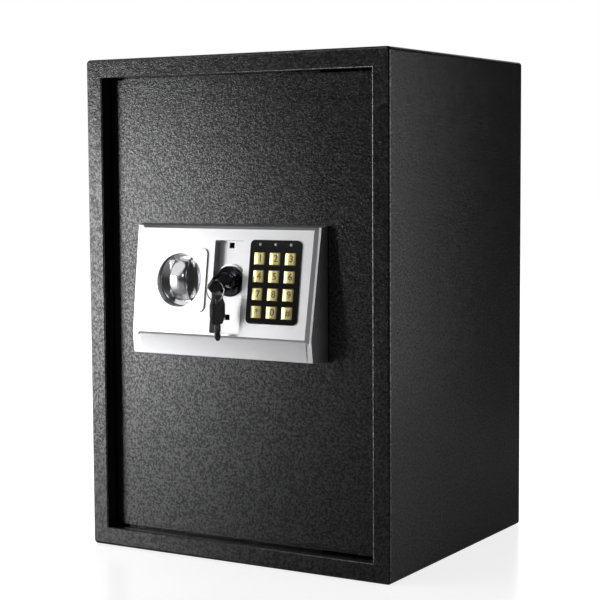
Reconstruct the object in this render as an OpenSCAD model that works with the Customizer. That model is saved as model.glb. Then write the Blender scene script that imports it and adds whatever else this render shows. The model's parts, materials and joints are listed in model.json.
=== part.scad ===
// Digital safe with a recessed door, a keypad panel and an override key.
// +X is to the right of the front, +Y runs to the back, +Z is up, and the origin is the
// middle of the underside.

/* [Cabinet] */
// Outside width
body_w = 350; // [345:5:380]
// Outside depth
body_d = 300; // [290:5:350]
// Outside height
body_h = 500; // [490:5:560]
// Thickness of the cabinet sheet
sheet = 2; // [1.5:0.5:2]
// Radius of the long outside edges
edge_r = 4; // [3:0.5:6]
// Width of the front flange around the door
flange_w = 19; // [18:0.5:20]
// Depth of the return folded in behind the flange
return_d = 24; // [22:0.5:25]
// Height of the shelf's top face
shelf_z = 255; // [255:5:290]
// Radius of the anchor holes in the base and back
anchor_r = 5; // [4:0.5:6]

/* [Door] */
// Depth of the door's face behind the flange
recess = 15; // [14:0.5:16]
// Thickness of the door plate
door_t = 4; // [3:0.5:5]
// Gap around the door
door_gap = 2; // [2:0.25:3]
// Distance of the hinge pins from the door's hinged edge
hinge_in = 20; // [18:1:24]
// Radius of the hinge pins
pin_r = 3; // [2.5:0.25:3.5]

/* [Locking bolts] */
// Radius of the bolts
bolt_r = 9; // [7:0.5:9]
// Distance between the two bolts
bolt_pitch = 160; // [140:5:180]
// Radius of the circle on which the knob's cam pin turns
cam_r = 12; // [10:0.5:12]
// Turn of the knob from unlocked to locked, in degrees
knob_turn = 70; // [50:5:70]

/* [Panel] */
// Width of the panel at the door
panel_w = 217; // [212:1:222]
// Distance of the panel's middle from the door's middle
panel_x = -7.5; // [-10:0.5:-5]
// Height of the panel's lower edge
panel_z = 204; // [190:1:215]
// Height of the panel at the door
panel_h = 130.6; // [128:0.2:134]
// How far the panel stands out at its top edge
panel_top_t = 9; // [8:0.5:10]
// How far the panel stands out at its ridge
panel_ridge_t = 25; // [24:0.5:27]
// Radius of the knob
knob_r = 25.8; // [24:0.1:26]

/* [Keypad and lock] */
// Size of one key's square face
key_size = 12.5; // [11:0.5:13.5]
// Distance between key columns
key_pitch_x = 17.4; // [17:0.1:18]
// Distance between key rows
key_pitch_z = 17.2; // [17:0.1:17.6]
// Travel of a keypad key
key_travel = 1.5; // [0.5:0.1:1.8]
// Angle of the override key's slot from level
slot_angle = 54; // [0:1:90]

/* [Hidden] */
$fn = 48;

BLACK = [0.07, 0.07, 0.075];
SILVER = [0.82, 0.83, 0.84];
CHROME = [0.75, 0.76, 0.78];
STEEL = [0.58, 0.59, 0.6];
BRASS = [0.78, 0.62, 0.3];
GOLD = [0.93, 0.86, 0.6];

front = -body_d / 2;
open_x = body_w / 2 - flange_w;
open_z0 = flange_w;
open_z1 = body_h - flange_w;
door_x = open_x - door_gap;
door_z0 = open_z0 + door_gap;
door_z1 = open_z1 - door_gap;
door_y = front + recess;
door_back = door_y + door_t;
hinge_x = door_x - hinge_in;
hinge_y = door_back + pin_r + 1;
fit = 0.05;     // radial clearance of a running fit
free = 0.4;     // clearance between pieces that move past each other

// Tilted face of the panel: children use x, lift out of the face as -y, and -z down the slope
ridge_z = panel_z + 22;
face_top = panel_z + panel_h - 1.6;
slope_h = face_top - ridge_z;
tilt = atan((panel_ridge_t - panel_top_t) / slope_h);
gasket_t = 1;
face_y = door_y - gasket_t - panel_top_t;
slope_len = slope_h / cos(tilt);
plateau = 3;    // height of the raised middle of the face, whose sides slope at 45 degrees
boss = 4.5;     // height of the square around the knob
module on_face(x = 0, down = 0, lift = 0)
    translate([0, face_y, face_top]) rotate([-tilt, 0, 0]) translate([x, -lift, -down]) children();

// Knob, lock and keypad places
knob_x = -57;
lock_x = -2;
mech_down = 54;
mech_z = face_top - mech_down * cos(tilt);
pad_x = 52.8;
pad_down = 53.5;
pad_w = 57;
pad_h = 81;
key_down = 31;

// Depths behind the door plate
cam_y = door_back + 1;
cam_t = 3.5;
plate_y = door_back + 5.5;
plate_t = 3;
bolt_y = door_back + 7 + bolt_r;
cover_y = door_back + 41;
cover_t = 2;
cover_z0 = mech_z - 115;
cover_z1 = mech_z + 115;
cover_x1 = 100;
guide_x = -door_x + 8;
lip_x = -door_x + 29;
lip_t = 3;
bolt_z = [mech_z - bolt_pitch / 2, mech_z + bolt_pitch / 2];
bolt_throw = 2 * cam_r * sin(knob_turn / 2);
guide_screws = [[lip_x + 17, mech_z - 55], [lip_x + 17, mech_z + 55]];
barrel_r = 9.5;
plug_r = 6.5;
ring_front = door_y - 16.5;
plunger_y = door_back + 14;
override_lift = 4;
solenoid_z = mech_z + 38.5;
battery_x = 57.5;
battery_z = cover_z0 + 43;
board_z = mech_z + 72;
button_x = 80;
key_end = front - 33;
ring_r = 10;
wire_r = 0.8;
head_w = 22;
head_l = 28;
head_t = 3.6;
hook_in = 5.5;  // distance of a key head's hole from its end
hook_off = 3.2; // distance of the fitted key's hole from the lock's axis
ring_x = lock_x + hook_off * cos(slot_angle);
ring_z = mech_z + hook_off * sin(slot_angle);
spare_z = ring_z - 2 * ring_r;

KEYS = ["key_1", "key_2", "key_3", "key_4", "key_5", "key_6",
        "key_7", "key_8", "key_9", "key_star", "key_0", "key_hash"];

// ---- shared shapes ----

// Rectangle with round corners, centred
module rounded(w, h, r) {
    square([w - 2 * r, h], center = true);
    square([w, h - 2 * r], center = true);
    for (x = [-1, 1], z = [-1, 1]) translate([x * (w / 2 - r), z * (h / 2 - r)]) circle(r);
}

// Flat shape drawn in x and z, made thick from y0 to y1
module sheet_y(y0, y1) translate([0, y1, 0]) rotate([90, 0, 0]) linear_extrude(y1 - y0) children();

// Box from one corner to the other
module block(a, b) translate(a) cube(b - a);

// Cylinder along y, x or z through a point
module rod_y(x, z, r, y0, y1) translate([x, y1, z]) rotate([90, 0, 0]) cylinder(r = r, h = y1 - y0);
module rod_x(y, z, r, x0, x1) translate([x0, y, z]) rotate([0, 90, 0]) cylinder(r = r, h = x1 - x0);
module rod_z(x, y, r, z0, z1) translate([x, y, z0]) cylinder(r = r, h = z1 - z0);

// The four places of a rectangle's corners
function corners(cx, cz, dx, dz) = [for (i = [-1, 1], j = [-1, 1]) [cx + i * dx / 2, cz + j * dz / 2]];

// ---- cabinet ----

base_anchor = [220, 140];
base_anchor_y = 20;
back_anchor = [220, 260];

module outer_shell() color(BLACK) difference() {
    union() {
        difference() {
            translate([0, 0, body_h / 2]) sheet_y(front, -front) rounded(body_w, body_h, edge_r);
            translate([0, 0, body_h / 2]) sheet_y(front + sheet, -front + 1)
                rounded(body_w - 2 * sheet, body_h - 2 * sheet, edge_r - sheet);
        }
        block([-open_x - sheet, front + sheet / 2, open_z0 - sheet],
              [open_x + sheet, front + return_d, open_z1 + sheet]);
    }
    block([-open_x, front - 1, open_z0], [open_x, front + return_d + 1, open_z1]);
    for (z = [open_z0 - sheet - 0.5, open_z1 - 0.5])
        block([hinge_x - 7, hinge_y - 7, z], [hinge_x + 7, front + return_d + 1, z + sheet + 1]);
    for (p = corners(0, base_anchor_y, base_anchor[0], base_anchor[1]))
        rod_z(p[0], p[1], anchor_r, -1, sheet + 1);
}

module back_panel() color(BLACK) translate([0, 0, body_h / 2]) difference() {
    sheet_y(-front - 3, -front - 3 + sheet)
        rounded(body_w - 2 * sheet, body_h - 2 * sheet, edge_r - sheet);
    for (p = corners(0, 0, back_anchor[0], back_anchor[1]))
        rod_y(p[0], p[1], anchor_r, -front - 4, -front);
}

module strike_bar() color(STEEL)
    block([-body_w / 2 + sheet, front + return_d - 6, mech_z - 110],
          [-open_x - sheet, front + return_d, mech_z + 110]);

module door_stops() color(BLACK) for (top = [0, 1]) {
    z = top ? open_z1 : open_z0;
    low = top ? z - 11 : z;
    block([-open_x + 6, door_back + 0.5, low], [hinge_x - 44, door_back + 2.5, low + 11]);
    block([-open_x + 6, door_back + 0.5, top ? z - 2 : z], [hinge_x - 44, door_back + 12, top ? z : z + 2]);
}

module frame_hinge_plates() color(BLACK) for (z = [open_z0 - sheet - 4, open_z1 + sheet])
    difference() {
        block([hinge_x - 20, front + 8, z], [hinge_x + 20, hinge_y + 14, z + 4]);
        rod_z(hinge_x, hinge_y, pin_r + 2 + fit, z - 1, z + 5);
    }

module hinge_bushes() color(BRASS) for (top = [0, 1]) {
    z = top ? open_z1 + 0.6 : open_z0 - sheet - 4;
    difference() {
        union() {
            rod_z(hinge_x, hinge_y, pin_r + 2, z, z + sheet + 3.4);
            rod_z(hinge_x, hinge_y, pin_r + 3.5, top ? z : z + 4, top ? z + 1.4 : z + sheet + 3.4);
        }
        rod_z(hinge_x, hinge_y, pin_r + fit, z - 1, z + 8);
    }
}

shelf_front = cover_y + cover_t + 4;
shelf_back = -front - 8;
module shelf() color(BLACK) {
    w = body_w / 2 - sheet - 1;
    block([-w, shelf_front, shelf_z - 1.5], [w, shelf_back, shelf_z]);
    block([-w, shelf_front, shelf_z - 14], [w, shelf_front + 1.5, shelf_z - 1.5]);
    block([-w, shelf_back - 1.5, shelf_z - 14], [w, shelf_back, shelf_z - 1.5]);
}

module shelf_brackets() color(BLACK)
    for (side = [-1, 1], y = [shelf_front + 25, shelf_back - 50]) translate([0, y, 0]) {
        root = side * (body_w / 2 - sheet);
        tip = root - side * 14;
        block([min(root, tip), 0, shelf_z - 3.5], [max(root, tip), 25, shelf_z - 1.5]);
        foot = root - side * 2;
        block([min(root, foot), 0, shelf_z - 16], [max(root, foot), 25, shelf_z - 3.5]);
    }

mat_t = 3;
module floor_mat() color([0.1, 0.1, 0.11]) difference() {
    block([-body_w / 2 + sheet + 4, front + return_d + 6, sheet],
          [body_w / 2 - sheet - 4, -front - 6, sheet + mat_t]);
    for (p = corners(0, base_anchor_y, base_anchor[0], base_anchor[1]))
        rod_z(p[0], p[1], anchor_r + 3, sheet - 1, sheet + mat_t + 1);
}

// ---- door ----

panel_screw_at = corners(panel_x, panel_z + panel_h / 2 + 1, panel_w - 26, panel_h - 28);
ribbon_hole = [pad_x - 9, pad_x + 9, mech_z + 20, mech_z + 30];

module door_plate() color(BLACK) difference() {
    block([-door_x, door_y, door_z0], [door_x, door_back, door_z1]);
    rod_y(knob_x, mech_z, 8 + fit, door_y - 1, door_back + 1);
    rod_y(lock_x, mech_z, barrel_r + 0.3, door_y - 1, door_back + 1);
    block([ribbon_hole[0], door_y - 1, ribbon_hole[2]], [ribbon_hole[1], door_back + 1, ribbon_hole[3]]);
    for (p = panel_screw_at) rod_y(p[0], p[1], 2, door_y - 1, door_back + 1);
}

module bolt_guide() color(STEEL) difference() {
    union() {
        block([guide_x, door_back, cover_z0], [guide_x + 3, cover_y - 8, cover_z1]);
        block([guide_x + 3, door_back, cover_z0], [guide_x + 18, door_back + 2, cover_z1]);
    }
    for (z = bolt_z) rod_x(bolt_y, z, bolt_r + fit, guide_x - 1, guide_x + 4);
}

module door_hinge_brackets() color(BLACK) for (top = [0, 1]) {
    z = top ? door_z1 - 13 : door_z0 + 9;
    difference() {
        block([hinge_x - 10, door_back, z], [hinge_x + 10, hinge_y + 8, z + 4]);
        rod_z(hinge_x, hinge_y, pin_r + fit, z - 1, z + 5);
    }
    leg = top ? z - 26 : z + 4;
    for (x = [-10, 5]) block([hinge_x + x, door_back, leg], [hinge_x + x + 5, door_back + 3, leg + 26]);
}

module hinge_pins() color(STEEL) for (top = [0, 1]) {
    inner = top ? door_z1 - 13 : door_z0 + 13;
    outer = top ? open_z1 + sheet + 5 : open_z0 - sheet - 5;
    rod_z(hinge_x, hinge_y, pin_r, min(inner, outer), max(inner, outer));
    head = top ? inner - 2.5 : inner;
    rod_z(hinge_x, hinge_y, pin_r + 0.8, head, head + 2.5);
}

module carriage_guides() color(STEEL) for (p = guide_screws) {
    rod_y(p[0], p[1], 3, door_back, plate_y + plate_t + free);
    rod_y(p[0], p[1], 5.5, plate_y + plate_t + free, plate_y + plate_t + 3);
}

module solenoid_frame() color(STEEL) {
    z1 = solenoid_z + 36;
    block([lock_x - 13, door_back, solenoid_z], [lock_x + 13, door_back + 2, z1]);
    for (z = [solenoid_z, z1 - 2]) difference() {
        block([lock_x - 13, door_back + 2, z], [lock_x + 13, plunger_y + 12, z + 2]);
        rod_z(lock_x, plunger_y, 4.4, z - 1, z + 3);
    }
}

module solenoid_coil() color([0.55, 0.25, 0.12]) difference() {
    rod_z(lock_x, plunger_y, 11, solenoid_z + 2, solenoid_z + 34);
    rod_z(lock_x, plunger_y, 4 + 0.08, solenoid_z + 1, solenoid_z + 35);
}

board_y = cover_y - 17;
module circuit_board() color([0.08, 0.3, 0.14]) {
    block([15, board_y, board_z - 25], [93, board_y + 1.6, board_z + 25]);
    for (p = [[28, -12, 12, 7], [46, 14, 9, 9], [66, -14, 14, 6]])
        block([p[0], board_y + 1.6, board_z + p[1]], [p[0] + p[2], board_y + 4.6, board_z + p[1] + p[3]]);
    rod_y(30, board_z + 16, 5, board_y + 1.6, board_y + 10);
    block([button_x - 5, board_y + 1.6, board_z - 5], [button_x + 5, board_y + 6.5, board_z + 5]);
}

module battery_box() color([0.12, 0.12, 0.12]) difference() {
    block([battery_x - 32.5, cover_y - 21, battery_z - 29], [battery_x + 32.5, cover_y, battery_z + 29]);
    block([battery_x - 30.5, cover_y - 19, battery_z - 27], [battery_x + 30.5, cover_y + 1, battery_z + 27]);
}

module batteries() color([0.2, 0.35, 0.6]) for (i = [0:3])
    translate([battery_x + (i - 1.5) * 14.8, cover_y - 11.7, battery_z]) {
        rod_z(0, 0, 7.1, -25, 24);
        rod_z(0, 0, 2.7, 24, 25.5);
    }

screw_at = corners((guide_x + cover_x1) / 2 + 4, mech_z, cover_x1 - guide_x - 30, 214);
module inner_cover() color([0.1, 0.1, 0.105]) difference() {
    union() {
        difference() {
            block([guide_x + 3, door_back, cover_z0], [cover_x1, cover_y + cover_t, cover_z1]);
            block([guide_x + 2, door_back - 1, cover_z0 + cover_t],
                  [cover_x1 - cover_t, cover_y, cover_z1 - cover_t]);
        }
        for (p = screw_at) rod_y(p[0], p[1], 5, door_back + 2, cover_y + 1);
        for (p = corners(54, board_z, 70, 42)) rod_y(p[0], p[1], 2.5, board_y + 1.6, cover_y + 1);
    }
    block([guide_x, door_back - 1, cover_z0 - 1], [guide_x + 19, door_back + 2.4, cover_z1 + 1]);
    block([battery_x - 30.5, cover_y - 1, battery_z - 27],
          [battery_x + 30.5, cover_y + cover_t + 1, battery_z + 27]);
    rod_y(button_x, board_z, 4 + free, cover_y - 1, cover_y + cover_t + 1);
    for (p = screw_at) rod_y(p[0], p[1], 2.1, door_back, cover_y + cover_t + 1);
}

module cover_screws() color(STEEL) for (p = screw_at) {
    rod_y(p[0], p[1], 2, door_back + 2, cover_y + cover_t);
    rod_y(p[0], p[1], 4, cover_y + cover_t, cover_y + cover_t + 2.2);
}

module battery_cover() color([0.13, 0.13, 0.135]) {
    block([battery_x - 30.1, cover_y, battery_z - 26.6],
          [battery_x + 30.1, cover_y + cover_t, battery_z + 26.6]);
    for (i = [-2:2]) block([battery_x - 10, cover_y + cover_t, battery_z + 14 + i * 3],
                           [battery_x + 10, cover_y + cover_t + 1, battery_z + 15.2 + i * 3]);
}

button_travel = 1.8;
module reset_button() color([0.65, 0.08, 0.06]) {
    rod_y(button_x, board_z, 4, board_y + 6.7 + button_travel, cover_y + cover_t + 3);
    rod_y(button_x, board_z, 5.6, cover_y - 2.6, cover_y - free);
}

module ribbon_cable() color([0.6, 0.6, 0.62]) {
    x = [pad_x - 7, pad_x + 7];
    z = mech_z + 25;
    z_end = board_z - 17;
    block([x[0], door_y - 4, z], [x[1], door_back + 17, z + 1]);
    block([x[0], door_back + 16, z + 1], [x[1], door_back + 17, z_end]);
    block([x[0], door_back + 16, z_end], [x[1], board_y, z_end + 1]);
}

// ---- panel ----

// Outline of the panel seen from the side: depth in front of the door and height,
// drawn smaller by an inset for the inside
module panel_side(inset = 0) {
    top = face_top - inset * 1.16;
    lean = (panel_ridge_t - panel_top_t) / slope_h;
    t_top = panel_top_t - inset * 1.01;
    t_ridge = panel_ridge_t - inset * 1.01;
    polygon([[0, panel_z + inset], [0, panel_z + panel_h - inset], [t_top + inset * lean, top],
             [t_ridge, ridge_z], [t_ridge - foot_lean, panel_z + 1.5 + inset]]);
}

// The panel's wedge with drafted sides
draft = 0.17;
module panel_wedge(inset = 0) intersection() {
    translate([panel_x + panel_w / 2, door_y - gasket_t, 0]) rotate([0, -90, 0]) mirror([0, 1, 0])
        linear_extrude(panel_w) rotate(90) mirror([0, 1, 0]) panel_side(inset);
    depth = panel_ridge_t + 2;
    w = panel_w / 2 - inset;
    translate([panel_x, door_y - gasket_t, panel_z - 1]) linear_extrude(panel_h + 2)
        polygon([[-w, 1], [-w + draft * depth, -depth], [w - draft * depth, -depth], [w, 1]]);
}

// Plate lying on the face, with round corners
module face_plate(x0, x1, d0, d1, l0, l1, r)
    on_face() translate([(x0 + x1) / 2, 0, -(d0 + d1) / 2]) sheet_y(-l1, -l0) rounded(x1 - x0, d1 - d0, r);

// All that lies left of a 45 degree side, between a depth in the face and the plateau's height
module bevelled_side(root) translate([0, 0, -slope_len - 10]) linear_extrude(slope_len + 20)
    polygon([[0, root], [0, 0], [-plateau, -plateau], [-panel_w, -plateau], [-panel_w, root]]);

// Raised middle of the face: four 45 degree sides, the two ends following the panel's draft
ledge_left = 6;
ledge_right = 2.6;
module raised_middle() {
    x0 = panel_x - panel_w / 2 + ledge_left + draft * panel_top_t;
    x1 = panel_x + panel_w / 2 - ledge_right - draft * panel_top_t;
    turn = atan(draft * (panel_ridge_t - panel_top_t) / slope_len);
    root = 2;                // depth to which it is sunk into the face
    foot = slope_len + 2;    // its lower side runs out just below the ridge
    on_face() intersection() {
        translate([x0, 0, 0]) rotate([0, -turn, 0]) mirror([1, 0, 0]) bevelled_side(root);
        translate([x1, 0, 0]) rotate([0, turn, 0]) bevelled_side(root);
        translate([x0 - 10, 0, 0]) rotate([90, 0, 90]) linear_extrude(panel_w)
            polygon([[root, 0], [0, 0], [-plateau, -plateau], [-plateau, plateau - foot],
                     [0, -foot], [root, -foot]]);
    }
}

// Raised middle of the facet below the ridge
foot_lean = 2.4;
foot_rise = 0.7;
module raised_foot() {
    x0 = panel_x - panel_w / 2 + ledge_left + draft * panel_ridge_t + 3;
    x1 = panel_x + panel_w / 2 - ledge_right - draft * panel_ridge_t - 3;
    out = door_y - gasket_t - panel_ridge_t - foot_rise;
    translate([x0, 0, 0]) rotate([90, 0, 90]) linear_extrude(x1 - x0)
        polygon([[door_y - 15, ridge_z - 1], [out, ridge_z - 1], [out + foot_lean, panel_z + 3],
                 [door_y - 15, panel_z + 3]]);
}

module panel_outer() {
    panel_wedge();
    raised_middle();
    raised_foot();
    face_plate(knob_x - 30, knob_x + 31.7, mech_down - 31.5, mech_down + 31.3, 0, boss, 6);
}

well_r = knob_r + 0.5;
well_y = door_y - 4.8;
channel_x0 = lock_x - 15.8;
channel_x1 = lock_x + 18.7;
channel_lift = -5;
channel_top = 14;
floor_y = door_y - 13.5;
panel_wall = 2.5;

// Material that stays inside the panel: the knob's cup, the channel's floor and walls, and the
// posts for the screws
module panel_inside() {
    rod_y(knob_x, mech_z, well_r + panel_wall, front - 40, well_y + panel_wall);
    face_plate(channel_x0 - panel_wall, channel_x1 + panel_wall, channel_top - panel_wall, slope_len + 6,
               channel_lift - panel_wall, 5, 2);
    for (p = panel_screw_at) rod_y(p[0], p[1], 4, front - 40, door_y);
}

module panel_housing() color(SILVER) difference() {
    union() {
        difference() {
            panel_outer();
            difference() {
                panel_wedge(panel_wall);
                panel_inside();
            }
            face_plate(channel_x0, channel_x1, channel_top, slope_len - 3, channel_lift, 10, 2);
        }
        rod_y(lock_x, mech_z, 16.8, floor_y, floor_y + 3);
    }
    rod_y(knob_x, mech_z, well_r, front - 60, well_y);
    rod_y(knob_x, mech_z, 6, well_y - 1, door_y);
    rod_y(lock_x, mech_z, 15.4, front - 60, floor_y);
    rod_y(lock_x, mech_z, barrel_r + 0.2, front - 60, door_y);
    for (d = [mech_down - 35.7, mech_down + 34.7])
        on_face(lock_x - 1.2, d) block([-2.9, -10, -2.7], [2.9, 12, 2.7]);
    face_plate(pad_x - 27.5, pad_x + 27.5, pad_down - 39.5, pad_down + 39.5, -5, 10, 4);
    for (p = panel_screw_at) rod_y(p[0], p[1], 1.6, door_y - 6, door_y);
}

module panel_gasket() color([0.05, 0.05, 0.05]) difference() {
    w = panel_w / 2 - 0.6;
    block([panel_x - w, door_y - gasket_t, panel_z + 0.6], [panel_x + w, door_y, panel_z + panel_h - 0.6]);
    block([panel_x - w + 3, door_y - 2, panel_z + 3.6],
          [panel_x + w - 3, door_y + 1, panel_z + panel_h - 3.6]);
}

module panel_screws() color(STEEL) for (p = panel_screw_at) {
    rod_y(p[0], p[1], 1.5, door_y - 5, door_back);
    rod_y(p[0], p[1], 3.6, door_back, door_back + 2.4);
}

function key_at(i) = [pad_x + (i % 3 - 1) * key_pitch_x, key_down + floor(i / 3) * key_pitch_z];
light_down = 17.3;

module keypad_bezel() color([0.04, 0.04, 0.045]) {
    difference() {
        union() {
            face_plate(pad_x - pad_w / 2, pad_x + pad_w / 2, pad_down - pad_h / 2, pad_down + pad_h / 2,
                       plateau, plateau + 1.5, 5);
            face_plate(pad_x - 27.3, pad_x + 27.3, pad_down - 39.3, pad_down + 39.3, 0, plateau, 4);
        }
        for (i = [0:11]) on_face(key_at(i)[0], key_at(i)[1]) sheet_y(-10, 10)
            rounded(key_size + 0.6, key_size + 0.6, 1.8);
        for (i = [0:2]) on_face(key_at(i)[0], light_down) rod_y(0, 0, 1.6, -10, 10);
    }
    for (x = [-24, 24], d = [20, 91.4]) on_face(pad_x + x, d) rod_y(0, 0, 1.2, 0, 4);
}

key_lift = 5.5;  // height of a key's top over the face
flange_t = 1.5;
board_lift = -(flange_t + 0.2 + key_travel + 0.8);
module keypad_board() color([0.08, 0.3, 0.14])
    face_plate(pad_x - 26.5, pad_x + 26.5, pad_down - 38.5, pad_down + 38.5, board_lift - 1.6, board_lift, 2);

module indicator_lights() color([0.7, 0.75, 0.72]) for (i = [0:2])
    on_face(key_at(i)[0], light_down) rod_y(0, 0, 1.5, -plateau - 1.8, -board_lift);

module keypad_key(i) color(GOLD) on_face(key_at(i)[0], key_at(i)[1]) {
    sheet_y(-key_lift, 0.2) rounded(key_size, key_size, 1.5);
    sheet_y(0.2, 0.2 + flange_t) rounded(key_size + 2, key_size + 2, 1.5);
}

// ---- override lock and keys ----

cam_slot = 2.4;
module lock_body() color(CHROME) difference() {
    union() {
        rod_y(lock_x, mech_z, 15, ring_front, floor_y);
        rod_y(lock_x, mech_z, barrel_r, floor_y, door_back + 12);
    }
    translate([lock_x, ring_front, mech_z]) rotate([-90, 0, 0])
        translate([0, 0, -0.01]) rotate_extrude() polygon([[0, 0], [13.6, 0], [9, 2.2], [0, 2.2]]);
    rod_y(lock_x, mech_z, plug_r + fit, ring_front - 1, door_back + 13);
}

module lock_nut() color(STEEL) difference() {
    translate([lock_x, door_back + 4.5, mech_z]) rotate([90, 0, 0]) cylinder(r = 13.5, h = 4.5, $fn = 6);
    rod_y(lock_x, mech_z, barrel_r + 0.1, door_back - 1, door_back + 5);
}

plug_back = door_back + 12.4;
cam_thick = 3.2;
module lock_plug() color(CHROME) difference() {
    union() {
        rod_y(lock_x, mech_z, plug_r, ring_front + 0.6, plug_back);
        translate([lock_x - 3, plug_back, mech_z - 3]) cube([6, cam_thick + 1.6, 6]);
    }
    translate([lock_x, 0, mech_z]) rotate([0, -slot_angle, 0])
        block([-4.3, ring_front - 1, -cam_slot / 2], [4.3, ring_front + 24, cam_slot / 2]);
}

// Cam whose edge rises evenly by override_lift as the plug turns a quarter
cam_low = 14;
cam_steps = 12;
module lock_cam() color(STEEL) difference() {
    sheet_y(plug_back, plug_back + cam_thick) translate([lock_x, mech_z]) union() {
        circle(9);
        polygon(concat([[0, 0]], [for (i = [0:cam_steps])
            let(a = 84 + i * 108 / cam_steps, r = cam_low + override_lift * max(0, min(90, a - 90)) / 90)
            [r * cos(a), r * sin(a)]]));
    }
    block([lock_x - 3.05, plug_back - 1, mech_z - 3.05],
          [lock_x + 3.05, plug_back + cam_thick + 1, mech_z + 3.05]);
}

// A key lying along y with its head towards the front, in the plane z = 0
module head_shape(hole) difference() {
    sheet_z(head_t) polygon([[-5.5, 0], [5.5, 0], [head_w / 2, 9], [head_w / 2, head_l - 8], [6.5, head_l],
        [-6.5, head_l], [-head_w / 2, head_l - 8], [-head_w / 2, 9]]);
    translate([hole, hook_in, -head_t]) cylinder(r = hole_r, h = 2 * head_t);
    block([-4.2, head_l - 8, -1.1], [4.2, head_l + 1, 1.1]);
}
module sheet_z(t) translate([0, 0, -t / 2]) linear_extrude(t) children();
module blade_shape(len) sheet_z(2) polygon([[-4, head_l - 7], [4, head_l - 7], [4, head_l + len - 3],
    [1, head_l + len], [-2, head_l + len], [-4, head_l + len - 3],
    [-4, head_l + len - 6], [-2.6, head_l + len - 7.5], [-4, head_l + len - 9]]);

blade_l = 25;
module fitted_key() translate([lock_x, key_end, mech_z]) rotate([0, -slot_angle, 0]) children();
module key_blade() color(CHROME) fitted_key() blade_shape(blade_l);
module key_head() color(BLACK) fitted_key() head_shape(hook_off);

hole_r = 3.4;
ring_y = key_end + hook_in;
module key_ring() color(CHROME) translate([ring_x, ring_y, ring_z - ring_r]) rotate([90, 0, 0])
    rotate_extrude() translate([ring_r, 0]) circle(wire_r, $fn = 24);

spare_l = 16;
spare_off = 3;  // distance of the spare key's hole from its middle
module spare_key()
    translate([ring_x, ring_y + spare_off, spare_z + hook_in])
        rotate([-90, 0, 0]) rotate([0, 90, 0]) children();
module spare_blade() color(CHROME) spare_key() blade_shape(spare_l);
module spare_head() color(BLACK) spare_key() head_shape(spare_off);

// ---- knob and bolts ----

knob_back = door_y - 5.2;
knob_rim = door_y - 17;
fin_crest = door_y - 27;
fin_r = 21;
fin_w = 19;
crest_r = 35;   // radius of the crest across the fin
fin_over = 0.4; // how far the fin's lengthwise curve stands over the crest
pocket_x = 16.3;
module knob_grip() color(CHROME) {
    difference() {
        translate([knob_x, knob_back, mech_z]) rotate([90, 0, 0]) rotate_extrude()
            polygon([[0, 0], [knob_r, 0], [knob_r, 11.8], [knob_r - 1.2, 11.8], [pocket_x - 1, 7], [0, 7]]);
        for (x = [-pocket_x, fin_w / 2]) intersection() {
            block([knob_x + x, knob_rim, mech_z - 30],
                  [knob_x + x + pocket_x - fin_w / 2, knob_back - 2, mech_z + 30]);
            rod_y(knob_x, mech_z, knob_r - 0.8, knob_rim - 1, knob_back);
        }
        rod_y(knob_x, mech_z, 4.9, knob_back - 5, knob_back + 1);
    }
    intersection() {
        rod_x(fin_crest - fin_over + fin_r, mech_z, fin_r, knob_x - fin_w / 2, knob_x + fin_w / 2);
        rod_y(knob_x, mech_z, knob_r - 0.6, fin_crest - 1, knob_back - 5.5);
        rod_z(knob_x, fin_crest + crest_r, crest_r, mech_z - 30, mech_z + 30);
    }
}

module knob_spindle() color(STEEL) {
    rod_y(knob_x, mech_z, 5, knob_back, cam_y);
    rod_y(knob_x, mech_z, 4.8, knob_back - 5, knob_back);
    rod_y(knob_x, mech_z, 4, cam_y, cam_y + cam_t);
}

module knob_bush() color(BRASS) difference() {
    union() {
        rod_y(knob_x, mech_z, 8, door_y, door_back);
        rod_y(knob_x, mech_z, 9.5, door_y - 1.2, door_y);
    }
    rod_y(knob_x, mech_z, 5 + fit, door_y - 2, door_back + 1);
}

cam_pin_r = 4;
pin_x = knob_x + cam_r * sin(knob_turn / 2);
pin_z = mech_z + cam_r * cos(knob_turn / 2);
module knob_cam() color(STEEL) {
    difference() {
        rod_y(knob_x, mech_z, cam_r + 5, cam_y, cam_y + cam_t);
        rod_y(knob_x, mech_z, 4 + fit, cam_y - 1, cam_y + cam_t + 1);
    }
    rod_y(pin_x, pin_z, cam_pin_r, cam_y + cam_t, plate_y + plate_t + 2);
}

// Slot with round ends between two points, cut along y
module slot_y(a, b, r) {
    rod_y(a[0], a[1], r, plate_y - 1, plate_y + plate_t + 1);
    rod_y(b[0], b[1], r, plate_y - 1, plate_y + plate_t + 1);
    low = [min(a[0], b[0]), min(a[1], b[1])];
    high = [max(a[0], b[0]), max(a[1], b[1])];
    across = a[0] == b[0] ? [r, 0] : [0, r];
    block([low[0] - across[0], plate_y - 1, low[1] - across[1]],
          [high[0] + across[0], plate_y + plate_t + 1, high[1] + across[1]]);
}

module bolt_carriage() color(STEEL) {
    difference() {
        union() {
            block([lip_x, plate_y, bolt_z[0] - 18], [lip_x + 30, plate_y + plate_t, bolt_z[1] + 18]);
            block([lip_x + 30, plate_y, mech_z - 22], [knob_x + 22, plate_y + plate_t, mech_z + 34]);
            block([knob_x + 22, plate_y, mech_z + 12], [lock_x + 5, plate_y + plate_t, mech_z + 18]);
        }
        slot_y([pin_x, pin_z - 1], [pin_x, mech_z + cam_r + 1], cam_pin_r + 0.5);
        for (p = guide_screws) slot_y([p[0] - 0.5, p[1]], [p[0] + bolt_throw + 0.5, p[1]], 3 + free);
    }
    for (z = bolt_z) difference() {
        block([lip_x, plate_y + plate_t, z - 14], [lip_x + lip_t, bolt_y + 12, z + 14]);
        rod_x(bolt_y, z, 4.05, lip_x - 1, lip_x + lip_t + 1);
    }
}

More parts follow.
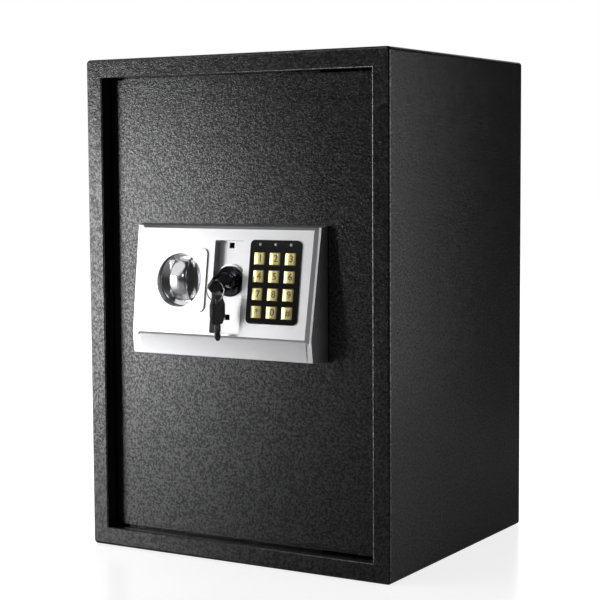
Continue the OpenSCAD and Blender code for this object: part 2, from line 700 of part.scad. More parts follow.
module locking_bolts() color(CHROME) for (z = bolt_z) {
    rod_x(bolt_y, z, bolt_r, -door_x + 1, lip_x);
    rod_x(bolt_y, z, 4, lip_x, lip_x + lip_t);
    rod_x(bolt_y, z, 6.5, lip_x + lip_t, lip_x + lip_t + 3);
}

module plunger() color(STEEL) {
    foot = mech_z + cam_low;
    block([lock_x - 4, plate_y - 1, foot + 4.5], [lock_x + 4, plunger_y + 4, foot + 12]);
    block([lock_x - 3, plug_back - 0.6, foot + 0.3], [lock_x + 3, plug_back + cam_thick + 0.6, foot + 4.5]);
    rod_z(lock_x, plunger_y, 4, foot + 12, solenoid_z + 29);
}

module plunger_spring() color(STEEL) difference() {
    rod_z(lock_x, plunger_y, 6, mech_z + cam_low + 12, solenoid_z);
    rod_z(lock_x, plunger_y, 4.7, mech_z + cam_low + 11, solenoid_z + 1);
}

// ---- the assembly ----

outer_shell();
back_panel();
strike_bar();
door_stops();
frame_hinge_plates();
hinge_bushes();
shelf();
shelf_brackets();
floor_mat();
door_plate();
bolt_guide();
door_hinge_brackets();
hinge_pins();
carriage_guides();
solenoid_frame();
solenoid_coil();
circuit_board();
battery_box();
batteries();
inner_cover();
cover_screws();
battery_cover();
reset_button();
ribbon_cable();
panel_housing();
panel_gasket();
panel_screws();
keypad_bezel();
keypad_board();
indicator_lights();
lock_body();
lock_nut();
lock_plug();
lock_cam();
key_blade();
key_head();
key_ring();
spare_blade();
spare_head();
knob_grip();
knob_spindle();
knob_bush();
knob_cam();
bolt_carriage();
locking_bolts();
plunger();
plunger_spring();
for (i = [0:11]) keypad_key(i);
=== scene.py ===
# Looks of the digital safe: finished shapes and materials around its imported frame.
# Everything is in metres, +X to the right of the front, +Y to the back, +Z up.
import json
import math

import bmesh
import bpy
from mathutils import Matrix, Vector

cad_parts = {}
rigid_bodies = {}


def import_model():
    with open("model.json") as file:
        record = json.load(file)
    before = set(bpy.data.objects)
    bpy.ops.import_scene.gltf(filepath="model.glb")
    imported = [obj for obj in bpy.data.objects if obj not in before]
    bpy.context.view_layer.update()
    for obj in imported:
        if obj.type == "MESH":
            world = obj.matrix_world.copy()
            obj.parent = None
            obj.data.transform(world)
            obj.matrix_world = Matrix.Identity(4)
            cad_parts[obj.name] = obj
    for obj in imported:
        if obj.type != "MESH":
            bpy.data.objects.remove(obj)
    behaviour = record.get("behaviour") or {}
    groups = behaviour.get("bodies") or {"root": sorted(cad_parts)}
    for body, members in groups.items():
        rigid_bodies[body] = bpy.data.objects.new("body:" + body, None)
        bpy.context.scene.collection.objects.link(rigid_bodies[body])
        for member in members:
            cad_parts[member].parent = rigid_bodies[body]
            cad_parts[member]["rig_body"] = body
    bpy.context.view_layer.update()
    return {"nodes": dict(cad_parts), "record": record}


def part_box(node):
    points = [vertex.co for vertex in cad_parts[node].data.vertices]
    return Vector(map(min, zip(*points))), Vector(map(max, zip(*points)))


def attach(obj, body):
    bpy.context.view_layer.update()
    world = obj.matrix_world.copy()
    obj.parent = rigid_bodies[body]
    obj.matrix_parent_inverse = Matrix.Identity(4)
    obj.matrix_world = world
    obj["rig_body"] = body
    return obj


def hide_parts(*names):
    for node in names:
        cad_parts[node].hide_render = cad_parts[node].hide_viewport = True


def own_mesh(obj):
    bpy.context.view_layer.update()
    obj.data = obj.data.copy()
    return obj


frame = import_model()
nodes = frame["nodes"]
MM = 0.001
WELD = 0.002 * MM  # points closer than this are joined
NEAR = 0.01 * MM  # points closer than this lie in one plane


# ---- modelling helpers ----

def active(obj):
    """Leaves only this object selected, and active."""
    bpy.ops.object.select_all(action="DESELECT")
    obj.select_set(True)
    bpy.context.view_layer.objects.active = obj
    return obj


def primitive(name, kind, **settings):
    """A mesh primitive under its own name."""
    bpy.ops.object.select_all(action="DESELECT")
    getattr(bpy.ops.mesh, f"primitive_{kind}_add")(**settings)
    obj = bpy.context.active_object
    obj.name = obj.data.name = name
    return obj


def modify(obj, kind, **settings):
    """Adds a modifier and applies it."""
    active(obj)
    made = obj.modifiers.new("work", kind)
    for key, value in settings.items():
        setattr(made, key, value)
    bpy.ops.object.modifier_apply(modifier=made.name)
    return obj


def edit(obj):
    """Opens a mesh for editing with nothing selected, and returns its BMesh."""
    active(obj)
    bpy.ops.object.mode_set(mode="EDIT")
    bpy.ops.mesh.select_mode(type="FACE")
    bpy.ops.mesh.select_all(action="DESELECT")
    return bmesh.from_edit_mesh(obj.data)


def pick(obj, kind, test):
    """Selects the faces, edges or vertices of the mesh being edited that pass a test."""
    bpy.ops.mesh.select_mode(type=kind)
    bpy.ops.mesh.select_all(action="DESELECT")
    mesh = bmesh.from_edit_mesh(obj.data)
    parts = {"FACE": mesh.faces, "EDGE": mesh.edges, "VERT": mesh.verts}[kind]
    for part in parts:
        part.select_set(bool(test(part)))
    mesh.select_flush_mode()
    bmesh.update_edit_mesh(obj.data)


def close():
    """Ends the editing of the active mesh."""
    bpy.ops.object.mode_set(mode="OBJECT")


def settle(obj):
    """Puts the object at the origin, unturned and unscaled, with its place in its mesh."""
    active(obj)
    bpy.ops.object.transform_apply(location=True, rotation=True, scale=True)
    return obj


def smooth(obj, angle=32):
    """Shades the surface smooth across every edge that turns less than the angle."""
    active(obj)
    bpy.ops.object.shade_smooth_by_angle(angle=math.radians(angle))
    return obj


def even(obj):
    """Lets the large flats set the shading of the small rounds beside them."""
    return modify(obj, "WEIGHTED_NORMAL", keep_sharp=True)


def soften(obj, width, angle=35):
    """Rounds every edge that turns more than the angle."""
    return modify(obj, "BEVEL", width=width, segments=2, limit_method="ANGLE",
                  angle_limit=math.radians(angle), use_clamp_overlap=True, miter_outer="MITER_ARC")


def refined(name, width=0.0):
    """A copy of a CAD node with its triangles joined, its flats made whole and its edges rounded."""
    obj = bpy.data.objects.new(name + "_finished", nodes[name].data.copy())
    bpy.context.collection.objects.link(obj)
    edit(obj)
    bpy.ops.mesh.select_all(action="SELECT")
    bpy.ops.mesh.customdata_custom_splitnormals_clear()
    bpy.ops.mesh.remove_doubles(threshold=WELD)
    bpy.ops.mesh.mark_sharp(clear=True)
    bpy.ops.mesh.dissolve_limited(angle_limit=math.radians(0.6))
    close()
    obj.data.materials.clear()
    if width:
        soften(obj, width)
    return even(smooth(obj))


def turned(name, profile, steps=64):
    """A solid of revolution about Z through the origin, from its outline as (radius, height)."""
    obj = primitive(name, "plane", size=1 * MM)
    edit(obj)
    bpy.ops.mesh.select_all(action="SELECT")
    bpy.ops.mesh.merge(type="CENTER")
    bpy.ops.mesh.select_mode(type="VERT")
    bpy.ops.mesh.select_all(action="SELECT")
    bpy.ops.transform.translate(value=(profile[0][0], 0, profile[0][1]))
    for (r0, z0), (r1, z1) in zip(profile, profile[1:]):
        bpy.ops.mesh.extrude_vertices_move(TRANSFORM_OT_translate={"value": (r1 - r0, 0, z1 - z0)})
    bpy.ops.mesh.select_all(action="SELECT")
    bpy.ops.mesh.spin(steps=steps, angle=math.tau, center=(0, 0, 0), axis=(0, 0, 1))
    bpy.ops.mesh.select_all(action="SELECT")
    bpy.ops.mesh.remove_doubles(threshold=WELD)
    bpy.ops.mesh.normals_make_consistent(inside=False)
    close()
    return smooth(obj)


def copied(obj, name):
    """A copy with its own mesh."""
    twin = obj.copy()
    twin.data = obj.data.copy()
    twin.name = twin.data.name = name
    bpy.context.collection.objects.link(twin)
    return twin


def joined(name, parts):
    """Several objects as one piece."""
    active(parts[0])
    for part in parts:
        part.select_set(True)
    bpy.ops.object.join()
    parts[0].name = parts[0].data.name = name
    return parts[0]


def put(obj, place, outward=(0, -1, 0), up=(0, 0, 1)):
    """Moves a piece made about the origin: its Z comes to look outward and its Y up."""
    z = Vector(outward).normalized()
    x = Vector(up).cross(z).normalized()
    turn = Matrix((x, z.cross(x), z)).transposed().to_4x4()
    obj.matrix_world = Matrix.Translation(place) @ turn
    return settle(obj)


def coil(name, radius, wire, pitch, turns, steps=48, sides=8):
    """Round wire wound about Z, from the origin upwards, with closed ends."""
    obj = settle(primitive(name, "circle", vertices=sides, radius=wire, location=(radius, 0, 0),
                           rotation=(math.pi / 2, 0, 0)))
    modify(obj, "SCREW", axis="Z", angle=math.tau, iterations=turns, screw_offset=pitch, steps=steps,
           use_merge_vertices=True, merge_threshold=0.001 * MM)
    edit(obj)
    bpy.ops.mesh.select_all(action="SELECT")
    bpy.ops.mesh.remove_doubles(threshold=0.001 * MM)
    bpy.ops.mesh.fill_holes(sides=sides)
    bpy.ops.mesh.select_all(action="SELECT")
    bpy.ops.mesh.normals_make_consistent(inside=False)
    close()
    return smooth(obj)


def cut(obj, *tools):
    """Takes each tool's shape out of the piece."""
    for tool in tools:
        modify(obj, "BOOLEAN", operation="DIFFERENCE", solver="EXACT", object=tool)
        bpy.data.objects.remove(tool)
    return obj


def stands_for(obj, *names, body=None):
    """The piece rides where its CAD nodes ride and is shown in their place."""
    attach(obj, body or nodes[names[0]]["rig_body"])
    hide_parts(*names)
    return obj


def middle(name):
    """Middle of a CAD node's box."""
    low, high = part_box(name)
    return (low + high) / 2


def face_centre(name, way):
    """Middle of the face of a CAD node that lies furthest along a direction."""
    points = [vertex.co for vertex in nodes[name].data.vertices]
    reach = max(point.dot(way) for point in points)
    face = [point for point in points if point.dot(way) > reach - NEAR]
    return Vector([(min(p[i] for p in face) + max(p[i] for p in face)) / 2 for i in range(3)])


# ---- material helpers ----

def srgb(code):
    """An sRGB hex colour as linear RGBA."""
    values = [int(code[i:i + 2], 16) / 255 for i in (1, 3, 5)]
    linear = [v / 12.92 if v <= 0.04045 else ((v + 0.055) / 1.055) ** 2.4 for v in values]
    return (*linear, 1)


def add(tree, kind, inputs, **settings):
    """Adds a node with its settings; an input takes a value or the output that feeds it."""
    made = tree.nodes.new("ShaderNode" + kind)
    for key, value in settings.items():
        setattr(made, key, value)
    for key, value in inputs.items():
        if isinstance(value, bpy.types.NodeSocket):
            tree.links.new(value, made.inputs[key])
        else:
            made.inputs[key].default_value = value
    return made


def material(name, **inputs):
    """A Principled material, its node tree and its shader; an input's name has _ for each space."""
    made = bpy.data.materials.new(name)
    made.use_nodes = True
    tree = made.node_tree
    tree.nodes.clear()
    shader = add(tree, "BsdfPrincipled", {key.replace("_", " "): value for key, value in inputs.items()})
    add(tree, "OutputMaterial", {0: shader.outputs[0]})
    return made, tree, shader


def paint(made, obj):
    """Gives the whole object one material."""
    obj.data.materials.clear()
    obj.data.materials.append(made)


# ---- materials ----

def grain(tree, size, detail=2.0, rough=0.5, stretch=(1, 1, 1)):
    """Noise over the object whose features are about `size` across; stretch draws it out along an axis."""
    place = add(tree, "TexCoord", {})
    mapping = add(tree, "Mapping", {"Vector": place.outputs["Object"], "Scale": stretch})
    return add(tree, "TexNoise", {"Vector": mapping.outputs[0], "Scale": 1 / size, "Detail": detail,
                                  "Roughness": rough})


def powder_coat(name, colour, peel):
    """Polyester powder, sprayed and baked: a pebbled skin that breaks the light into grey specks. The
    peel is the height of the pebbles."""
    made, tree, shader = material(name, Base_Color=srgb(colour), IOR=1.5, Specular_IOR_Level=0.6)
    # the pebbles and the finer skin on them roughen the outline of every reflection
    fine = grain(tree, 1.1 * MM, detail=1.0)
    pebbles = grain(tree, 2.2 * MM, detail=1.0)
    height = add(tree, "Math", {0: fine.outputs[0], 1: pebbles.outputs[0]}, operation="ADD")
    bump = add(tree, "Bump", {"Height": height.outputs[0], "Distance": peel, "Strength": 1.0})
    tree.links.new(bump.outputs[0], shader.inputs["Normal"])
    # the gloss wanders over a centimetre, as it does where the powder lay thicker
    broad = grain(tree, 9 * MM, detail=3)
    rough = add(tree, "MapRange", {"Value": broad.outputs[0], "From Min": 0.3, "From Max": 0.7,
                                   "To Min": 0.19, "To Max": 0.24})
    tree.links.new(rough.outputs[0], shader.inputs["Roughness"])
    # the pits between the pebbles mirror less, which gives the dark specks
    pits = grain(tree, 2.4 * MM, detail=1.5, rough=0.6)
    shine = add(tree, "MapRange", {"Value": pits.outputs[0], "From Min": 0.38, "From Max": 0.62,
                                   "To Min": 0.38, "To Max": 0.98})
    tree.links.new(shine.outputs[0], shader.inputs["Specular IOR Level"])
    return made


def metal(name, colour, roughness, mark=0.4 * MM, uneven=0.05, stretch=(1, 1, 1), depth=0.004 * MM,
          share=1.0):
    """A metal surface: its roughness wanders a little and fine marks run along the stretch. A lacquer
    with metal flakes has a share of metal below 1."""
    made, tree, shader = material(name, Base_Color=srgb(colour), Metallic=share)
    marks = grain(tree, mark, detail=3, stretch=stretch)
    rough = add(tree, "MapRange", {"Value": marks.outputs[0], "From Min": 0.3, "From Max": 0.7,
                                   "To Min": max(roughness - uneven, 0.02), "To Max": roughness + uneven})
    tree.links.new(rough.outputs[0], shader.inputs["Roughness"])
    bump = add(tree, "Bump", {"Height": marks.outputs[0], "Distance": depth, "Strength": 0.5})
    tree.links.new(bump.outputs[0], shader.inputs["Normal"])
    return made


def plastic(name, colour, roughness, size=0.5 * MM, depth=0.01 * MM, coat=0.0):
    """Moulded plastic: a fine spark-eroded texture, and a coat where it is lacquered or polished."""
    made, tree, shader = material(name, Base_Color=srgb(colour), Roughness=roughness, IOR=1.52,
                                  Coat_Weight=coat, Coat_Roughness=0.05)
    fine = grain(tree, size, detail=2)
    bump = add(tree, "Bump", {"Height": fine.outputs[0], "Distance": depth, "Strength": 0.6})
    tree.links.new(bump.outputs[0], shader.inputs["Normal"])
    return made


powder = powder_coat("black_powder_coat", "#101011", peel=0.12 * MM)
silver = metal("silver_lacquered_abs", "#E6E6E8", 0.36, mark=0.8 * MM, uneven=0.025, stretch=(0.012, 1, 1),
               depth=0.0012 * MM)
chrome = metal("chrome_plate", "#E8E8EA", 0.08)
satin_chrome = metal("satin_chrome_plate", "#E2E2E4", 0.17)
# the lock ring is chrome; its dark colour is a painted reflection of the dark studio side, not a black
# plating
chrome_painted_dark_reflection = metal("chrome_plate_painted_dark_reflection", "#303033", 0.1)
zinc = metal("zinc_plated_steel", "#B4B7B8", 0.35, mark=1.5 * MM, uneven=0.1)
brass = metal("turned_brass", "#C9A457", 0.3)
nickel = metal("nickel_plated_steel", "#C9C7C0", 0.22)
gloss_black = plastic("polished_black_abs", "#0A0A0B", 0.15, coat=0.6)
satin_black = plastic("moulded_black_nylon", "#060607", 0.4)
cover_black = plastic("textured_black_polystyrene", "#161617", 0.55, size=0.9 * MM, depth=0.03 * MM)
gold = metal("gold_lacquered_abs", "#EFDF9C", 0.3, mark=0.6 * MM, uneven=0.04, share=0.7)
gold_mark = plastic("bronze_ink", "#4E4318", 0.4)
black_oxide = metal("black_oxide_steel", "#1B1B1D", 0.4)
dark_bronze = metal("oiled_bronze", "#4A3A22", 0.4)
# the key blades' nickel silver gets a dark colour that is a painted reflection of the dark studio side, not
# the metal's own tone; the milling marks along it are real
nickel_painted_dark_reflection = metal("milled_nickel_silver_painted_dark_reflection", "#4A4946", 0.28, mark=0.5 * MM, stretch=(1, 1, 0.1),
                    depth=0.01 * MM)
natural_nylon = plastic("natural_nylon", "#D9D4C4", 0.5)
lens = plastic("clear_lens", "#D8DCDA", 0.1, coat=1.0)
copper = metal("enamelled_copper_wire", "#8C4A22", 0.35)
board_green = plastic("green_circuit_board", "#155229", 0.4)
red = plastic("red_abs", "#A31713", 0.35)
sleeve = plastic("printed_battery_sleeve", "#2B4D8A", 0.3)
grey_pvc = plastic("grey_ribbon_pvc", "#8E8E92", 0.5)
foam = plastic("black_foam_strip", "#0B0B0C", 0.9, size=0.6 * MM, depth=0.1 * MM)
felt = plastic("charcoal_felt", "#232326", 0.95, size=0.5 * MM, depth=0.2 * MM)

SLOT_LOOKS = {
    "powder_coat": powder, "silver_plastic": silver, "black_plastic": gloss_black,
    "cover_plastic": cover_black,
    "gold_plastic": gold, "chrome": chrome, "zinc_steel": zinc, "brass": brass, "felt": felt, "foam": foam,
    "circuit": board_green, "copper": copper, "battery": sleeve, "red_plastic": red, "clear_lens": lens,
    "cable": grey_pvc,
}
NODE_LOOKS = {
    "hinge_pins": black_oxide, "hinge_bushes": dark_bronze, "lock_body": chrome_painted_dark_reflection, "lock_plug": chrome,
    "key_blade": nickel_painted_dark_reflection, "spare_blade": nickel_painted_dark_reflection, "key_head": satin_black, "spare_head": satin_black,
    "locking_bolts": nickel, "key_ring": nickel,
}
slot_of = {part["node"]: part["material_slot"] for part in frame["record"]["subparts"]}
look_of = {name: NODE_LOOKS.get(name, SLOT_LOOKS[slot]) for name, slot in slot_of.items()}
for name, look in look_of.items():
    paint(look, nodes[name])

# ---- the cabinet ----

OUTER_ROUND, OPENING_ROUND, CUT_EDGE = 2.6 * MM, 1.2 * MM, 0.3 * MM


def outer_shell():
    """Folded sheet: wide rounds on the front's outer edges, tight ones at the opening."""
    low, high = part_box("outer_shell")
    rim = 5 * MM  # the front's outer edges lie within this of the shell's sides
    obj = refined("outer_shell")
    edit(obj)

    def outside(vertex):
        x, _, z = vertex.co
        return abs(x) > high.x - rim or z < low.z + rim or z > high.z - rim

    def at_front(edge):
        return all(vertex.co.y < low.y + 0.05 * MM for vertex in edge.verts)

    pick(obj, "EDGE", lambda e: at_front(e) and all(outside(v) for v in e.verts))
    bpy.ops.mesh.bevel(offset=OUTER_ROUND, segments=5, affect="EDGES", clamp_overlap=True)
    pick(obj, "EDGE", lambda e: at_front(e) and not any(outside(v) for v in e.verts))
    bpy.ops.mesh.bevel(offset=OPENING_ROUND, segments=3, affect="EDGES", clamp_overlap=True)
    close()
    soften(obj, CUT_EDGE)
    return even(smooth(obj))


shell = outer_shell()
paint(powder, shell)
stands_for(shell, "outer_shell")

mat = refined("floor_mat", 0.8 * MM)
paint(felt, mat)
stands_for(mat, "floor_mat")

# ---- pieces whose CAD shape is right: their edges are rounded by these widths, in mm ----

EDGES = {
    "back_panel": 0.5, "strike_bar": 0.3, "door_stops": 0.4, "frame_hinge_plates": 0.4,
    "hinge_bushes": 0.2, "shelf": 0.4, "shelf_brackets": 0.4, "door_plate": 0.8, "bolt_guide": 0.3,
    "door_hinge_brackets": 0.4, "hinge_pins": 0.4, "solenoid_frame": 0.25, "circuit_board": 0.2,
    "battery_box": 0.3, "inner_cover": 0.6, "battery_cover": 0.3, "reset_button": 0.3,
    "ribbon_cable": 0.2, "panel_housing": 0.45, "panel_gasket": 0.25, "keypad_bezel": 0.5,
    "keypad_board": 0.2, "lock_nut": 0.3, "lock_plug": 0.15, "lock_cam": 0.2, "key_blade": 0.2,
    "key_head": 0.8, "spare_blade": 0.2, "spare_head": 0.8, "knob_spindle": 0.3, "knob_bush": 0.3,
    "knob_cam": 0.3, "bolt_carriage": 0.3, "locking_bolts": 1.0, "plunger": 0.3,
}
for name, width in EDGES.items():
    piece = refined(name, width * MM)
    paint(look_of[name], piece)
    stands_for(piece, name)

# ---- keypad ----

rise = (middle("key_2") - middle("key_0")).normalized()
outward = Vector((1, 0, 0)).cross(rise)
KEY_HEIGHT = 7.2 * MM
KEY_MARKS = {"key_star": "*", "key_hash": "#"}
MARK_SIZE, MARK_DEPTH = 9.5 * MM, 0.3 * MM


def keycap(size, height):
    """A cap under the origin: its flange, straight sides and a top that is crowned from side to side."""
    flange, lip, shoulder, crown = 1.5 * MM, 1 * MM, 1.2 * MM, 0.9 * MM
    side = height - flange - crown - shoulder
    cap = primitive("keycap", "cube", size=1, scale=(size + 2 * lip, size + 2 * lip, flange),
                    location=(0, 0, flange / 2 - height))
    settle(cap)
    edit(cap)
    pick(cap, "FACE", lambda f: f.normal.z > 0.9)
    bpy.ops.mesh.inset(thickness=lip)
    for up, across, along in ((side, 0.98, 0.98), (shoulder, 0.95, 0.96), (crown, 0.42, 0.97)):
        bpy.ops.mesh.extrude_region_move(TRANSFORM_OT_translate={"value": (0, 0, up)})
        bpy.ops.transform.resize(value=(across, along, 1), center_override=(0, 0, 0))
    pick(cap, "EDGE", lambda e: all(v.co.z > -NEAR for v in e.verts)
         and abs(e.verts[0].co.x - e.verts[1].co.x) < NEAR)
    bpy.ops.mesh.bevel(offset=1.4 * MM, segments=4, affect="EDGES")
    close()
    soften(cap, 0.4 * MM, angle=25)
    return even(smooth(cap, 40))


def raised_mark(mark):
    """A number or sign standing a little out of a keycap."""
    bpy.ops.object.select_all(action="DESELECT")
    bpy.ops.object.text_add()
    obj = bpy.context.active_object
    obj.data.body = mark
    obj.data.size = MARK_SIZE
    obj.data.align_x = "CENTER"
    obj.data.align_y = "CENTER"
    obj.data.extrude = MARK_DEPTH
    obj.data.resolution_u = 3
    bpy.ops.object.convert(target="MESH")
    return bpy.context.active_object


key_low, key_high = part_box("key_5")
first_cap = keycap(key_high.x - key_low.x - 2 * MM, KEY_HEIGHT)
paint(gold, first_cap)
for name in [node for node, slot in slot_of.items() if slot == "gold_plastic"]:
    cap = copied(first_cap, name + "_cap")
    mark = raised_mark(KEY_MARKS.get(name, name[-1]))
    mark.location = (1.6 * MM, -0.5 * MM if name == "key_star" else 0, -MARK_DEPTH / 2)
    settle(mark)
    paint(gold_mark, mark)
    key = joined(name + "_finished", [cap, mark])
    put(key, face_centre(name, outward), outward, rise)
    stands_for(key, name)
bpy.data.objects.remove(first_cap)

lamp_low, lamp_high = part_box("indicator_lights")
lamp_r = 1.5 * MM
lamps = []
for x in (lamp_low.x + lamp_r, (lamp_low.x + lamp_high.x) / 2, lamp_high.x - lamp_r):
    lamp = turned("lamp", [(0, -8 * MM), (lamp_r, -8 * MM), (lamp_r, -0.5 * MM), (1.3 * MM, -0.1 * MM),
                           (0.7 * MM, 0.25 * MM), (0, 0.35 * MM)], steps=24)
    place = Vector((x, lamp_low.y + lamp_r * outward.z, lamp_high.z + lamp_r * outward.y))
    lamps.append(put(lamp, place, outward, rise))
lamps = joined("indicator_lights_finished", lamps)
paint(lens, lamps)
stands_for(lamps, "indicator_lights")

# ---- lock, ring and screws ----

door_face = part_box("door_plate")[0].y
lock_place = Vector((middle("lock_body").x, door_face, middle("lock_body").z))
escutcheon = turned("lock_body_finished", [(r * MM, z * MM) for r, z in (
    (6.55, -16), (9.5, -16), (9.5, 13.5), (15, 13.5), (15, 15.7), (14.9, 16.1), (14.6, 16.4), (14.2, 16.5),
    (13.9, 16.45), (13.5, 16.2), (9.6, 14.5), (9.0, 14.3), (6.55, 14.3), (6.55, -16))], steps=96)
put(escutcheon, lock_place)
paint(chrome_painted_dark_reflection, escutcheon)
stands_for(escutcheon, "lock_body")

knob_low, knob_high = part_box("knob_grip")
knob_r = (knob_high.x - knob_low.x) / 2
FIN_W, FIN_R = 19 * MM, 25 * MM
POCKET_X = 16.3 * MM


def knob_grip():
    """The knob about the origin, its back at z = 0: a dished cup, a barrel-backed fin and two pockets."""
    cup = turned("knob_grip_finished", [
        (0, 0), (knob_r - 0.3 * MM, 0), (knob_r, 0.3 * MM), (knob_r, 11.3 * MM),
        (knob_r - 0.2 * MM, 11.65 * MM), (knob_r - 0.6 * MM, 11.8 * MM), (knob_r - 1 * MM, 11.7 * MM),
        (POCKET_X - 1 * MM, 7 * MM), (0, 7 * MM)], steps=128)
    height = knob_high.y - knob_low.y
    half = FIN_W / 2
    side = [(FIN_R - 2.4 * MM, -half), (FIN_R - 1.6 * MM, -half + 0.5 * MM),
            (FIN_R - 0.9 * MM, -half + 1.6 * MM), (FIN_R - 0.45 * MM, -half * 0.6),
            (FIN_R - 0.12 * MM, -half * 0.3)]
    other_side = [(r, -x) for r, x in reversed(side)]
    fin = turned("fin", [(0, -half), *side, (FIN_R, 0), *other_side, (0, half)], steps=160)
    put(fin, (0, 0, height - FIN_R), outward=(1, 0, 0))
    edit(fin)
    bpy.ops.mesh.select_all(action="SELECT")
    bpy.ops.mesh.bisect(plane_co=(0, 0, 5 * MM), plane_no=(0, 0, 1), clear_inner=True, use_fill=True)
    close()
    for x in (-1, 1):
        pocket = settle(primitive("pocket", "cube", size=1, scale=(POCKET_X - half, 3 * knob_r, 12 * MM),
                                  location=(x * (POCKET_X + half) / 2, 0, 8 * MM)))
        bound = settle(primitive("bound", "cylinder", vertices=128, radius=knob_r - 0.8 * MM, depth=40 * MM))
        modify(pocket, "BOOLEAN", operation="INTERSECT", solver="EXACT", object=bound)
        bpy.data.objects.remove(bound)
        cut(cup, pocket)
    modify(cup, "BOOLEAN", operation="UNION", solver="EXACT", object=fin)
    bpy.data.objects.remove(fin)
    edit(cup)
    bpy.ops.mesh.select_all(action="SELECT")
    bpy.ops.mesh.remove_doubles(threshold=0.005 * MM)
    close()
    soften(cup, 0.3 * MM, angle=40)
    return even(smooth(cup))


knob = put(knob_grip(), Vector((middle("knob_grip").x, knob_high.y, middle("knob_grip").z)))
paint(satin_chrome, knob)
stands_for(knob, "knob_grip")

ring_low, ring_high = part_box("key_ring")
ring_wire = (ring_high.y - ring_low.y) / 4
ring_radius = (ring_high.x - ring_low.x) / 2 - 2 * ring_wire
split_ring = coil("key_ring_finished", ring_radius, ring_wire * 0.98, 2 * ring_wire, 2, steps=64)
put(split_ring, middle("key_ring") + Vector((0, 2 * ring_wire, 0)))
paint(nickel, split_ring)
stands_for(split_ring, "key_ring")


def screw(head_r, head_h, shank_r, length):
    """A pan-head screw with a cross recess, its seat at the origin and its head up."""
    body = turned("screw", [
        (0, -length), (shank_r * 0.7, -length), (shank_r, -length + shank_r * 0.4), (shank_r, 0),
        (head_r, 0), (head_r, head_h * 0.45), (head_r * 0.86, head_h * 0.8), (head_r * 0.5, head_h),
        (0, head_h)], steps=32)
    across, slit = head_r * 1.1, head_r * 0.26
    arms = [primitive("arm", "cube", size=1, scale=(*size, head_h * 1.2), location=(0, 0, head_h * 0.95))
            for size in ((across, slit), (slit, across))]
    return smooth(cut(body, *[settle(arm) for arm in arms]))


def screws_for(name, head_r, head_h, shank_r):
    """One screw at each corner of a CAD group of screws, heads towards the inside of the safe."""
    low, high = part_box(name)
    seat = high.y - head_h
    pattern = screw(head_r, head_h, shank_r, seat - low.y)
    columns = sorted({round(low.x + head_r, 6), round(high.x - head_r, 6)})
    parts = [put(copied(pattern, "screw"), (x, seat, z), outward=(0, 1, 0))
             for x in columns for z in (low.z + head_r, high.z - head_r)]
    bpy.data.objects.remove(pattern)
    piece = joined(name + "_finished", parts)
    paint(zinc, piece)
    return stands_for(piece, name)


screws_for("cover_screws", 4 * MM, 2.2 * MM, 2 * MM)
screws_for("panel_screws", 3.6 * MM, 2.4 * MM, 1.5 * MM)
screws_for("carriage_guides", 5.5 * MM, 2.6 * MM, 3 * MM)

# ---- solenoid, spring and batteries ----

UPRIGHT = {"outward": (0, 0, 1), "up": (0, 1, 0)}
coil_low, coil_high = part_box("solenoid_coil")
coil_h = coil_high.z - coil_low.z
coil_foot = Vector((*middle("solenoid_coil").xy, coil_low.z))
bore_r, barrel_r, flange_r, flange_t = 4.1 * MM, 8.6 * MM, 11 * MM, 1 * MM
bobbin = turned("bobbin", [
    (bore_r, 0), (flange_r, 0), (flange_r, flange_t), (barrel_r, flange_t), (barrel_r, coil_h - flange_t),
    (flange_r, coil_h - flange_t), (flange_r, coil_h), (bore_r, coil_h), (bore_r, 0)])
put(bobbin, coil_foot, **UPRIGHT)
paint(natural_nylon, bobbin)
wire_r = 0.42 * MM
turns = int((coil_h - 2 * flange_t) / (2 * wire_r)) - 1
winding = coil("winding", barrel_r + 0.5 * MM, wire_r, 2 * wire_r, turns, steps=40, sides=6)
put(winding, coil_foot + Vector((0, 0, flange_t + wire_r)), **UPRIGHT)
paint(copper, winding)
stands_for(joined("solenoid_coil_finished", [winding, bobbin]), "solenoid_coil")

spring_low, spring_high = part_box("plunger_spring")
spring_h = spring_high.z - spring_low.z
spring_r, spring_wire, spring_turns = 5.3 * MM, 0.55 * MM, 5
spring_pitch = (spring_h - 2 * spring_wire) / spring_turns
spring = coil("plunger_spring_finished", spring_r, spring_wire, spring_pitch, spring_turns, steps=32)
put(spring, Vector((*middle("plunger_spring").xy, spring_low.z + spring_wire)), **UPRIGHT)
paint(zinc, spring)
stands_for(spring, "plunger_spring", body="door")
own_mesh(spring)

cells_low, cells_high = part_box("batteries")
cell_r = 7.1 * MM
cell_h = cells_high.z - cells_low.z
CELLS = 4


def battery_cell():
    """An AA cell standing on the origin: a printed sleeve between two nickel-plated ends."""
    cell = turned("cell", [(0, 0), (6.4 * MM, 0), (cell_r, 0.5 * MM), (cell_r, cell_h - 2.2 * MM),
                           (6.6 * MM, cell_h - 1.5 * MM), (2.9 * MM, cell_h - 1.4 * MM),
                           (2.7 * MM, cell_h - 0.4 * MM), (2.2 * MM, cell_h), (0, cell_h)], steps=48)
    paint(sleeve, cell)
    cell.data.materials.append(nickel)
    for face in cell.data.polygons:
        if face.center.z < 0.1 * MM or face.center.z > cell_h - 1.55 * MM:
            face.material_index = 1
    return cell


first_cell = battery_cell()
cell_pitch = (cells_high.x - cells_low.x - 2 * cell_r) / (CELLS - 1)
cells = [put(copied(first_cell, "cell"), (cells_low.x + cell_r + i * cell_pitch, middle("batteries").y,
                                          cells_low.z), **UPRIGHT) for i in range(CELLS)]
bpy.data.objects.remove(first_cell)
stands_for(joined("batteries_finished", cells), "batteries")

# ---- studio ----

CENTRE = Vector((0, 0, 0.25))


def direction(azimuth, elevation):
    """Towards an azimuth (0 in front, 90 on the right) and an elevation, in degrees."""
    a, e = math.radians(azimuth), math.radians(elevation)
    return Vector((math.sin(a) * math.cos(e), -math.cos(a) * math.cos(e), math.sin(e)))


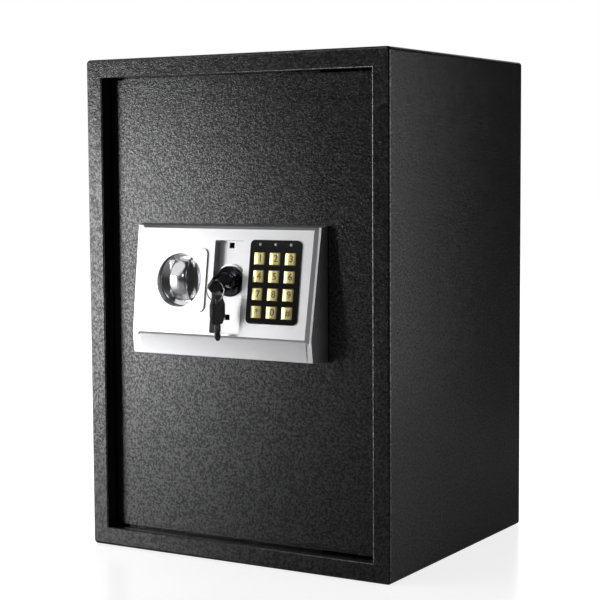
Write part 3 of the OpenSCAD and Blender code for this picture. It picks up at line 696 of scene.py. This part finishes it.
def aimed(name, data, place, way):
    """A lamp or a camera at a place, looking against the way."""
    obj = bpy.data.objects.new(name, data)
    obj.location = place
    obj.rotation_mode = "QUATERNION"
    obj.rotation_quaternion = (-way).to_track_quat("-Z", "Y")
    bpy.context.collection.objects.link(obj)
    return obj


def light(name, azimuth, elevation, distance, size, power):
    """A soft panel light around the middle of the safe, turned to it."""
    way = direction(azimuth, elevation)
    data = bpy.data.lights.new(name, "AREA")
    data.shape = "RECTANGLE"
    data.size, data.size_y = size
    data.energy = power
    aimed(name, data, CENTRE + way * distance, way).visible_camera = False


light("low_softbox_left", -52, 0, 1.3, (0.8, 0.5), 8.2)
light("tall_softbox_left", -50, 38, 2.3, (2.1, 2.0), 12)
light("strip_right", 130, 4, 1.0, (0.2, 0.6), 0.6)
light("rim_softbox", 90, 3, 1.1, (0.8, 0.7), 4)
light("key_front", -8, 18, 2.4, (0.3, 0.3), 2)
light("back_wall_light", 211, 14, 5.0, (6.0, 2.4), 45)


def studio_world():
    """White to the camera, and nearly dark to everything that reflects it."""
    world = bpy.data.worlds.new("studio")
    world.use_nodes = True
    tree = world.node_tree
    tree.nodes.clear()
    path = add(tree, "LightPath", {})
    seen = add(tree, "Background", {"Color": (1, 1, 1, 1), "Strength": 1.0})
    unseen = add(tree, "Background", {"Color": (1, 1, 1, 1), "Strength": 0.03})
    both = add(tree, "MixShader", {0: path.outputs["Is Camera Ray"], 1: unseen.outputs[0],
                                   2: seen.outputs[0]})
    add(tree, "OutputWorld", {0: both.outputs[0]})
    return world


def pale_floor():
    """Polished pale board, lit up further out so that it runs into the white behind."""
    made, tree, shader = material("pale_floor", Base_Color=(0.5, 0.5, 0.5, 1), Roughness=0.2,
                                  Emission_Color=(1, 1, 1, 1))
    place = add(tree, "TexCoord", {})
    away = add(tree, "VectorMath", {0: place.outputs["Object"]}, operation="LENGTH")
    level = add(tree, "MapRange", {"Value": away.outputs["Value"], "From Min": 0.3, "From Max": 2.0,
                                   "To Min": 0.78, "To Max": 1.0})
    path = add(tree, "LightPath", {})
    glow = add(tree, "Math", {0: path.outputs["Is Camera Ray"], 1: level.outputs[0]}, operation="MULTIPLY")
    tree.links.new(glow.outputs[0], shader.inputs["Emission Strength"])
    return made


scene = bpy.context.scene
scene.world = studio_world()
scene.view_settings.view_transform = "Standard"

floor = primitive("studio_floor", "grid", x_subdivisions=2, y_subdivisions=2, size=30)
paint(pale_floor(), floor)

CAMERA_PLACE = (0.866, -1.458, 0.392)
CAMERA_AZIMUTH, CAMERA_ELEVATION, CAMERA_ROLL = 31.06, 4.78, -0.35
optics = bpy.data.cameras.new("camera")
optics.sensor_width = 36
optics.lens = 96.67
camera = aimed("camera", optics, CAMERA_PLACE, direction(CAMERA_AZIMUTH, CAMERA_ELEVATION))
roll = Matrix.Rotation(math.radians(CAMERA_ROLL), 3, "Z").to_quaternion()
camera.rotation_quaternion = camera.rotation_quaternion @ roll
scene.camera = camera
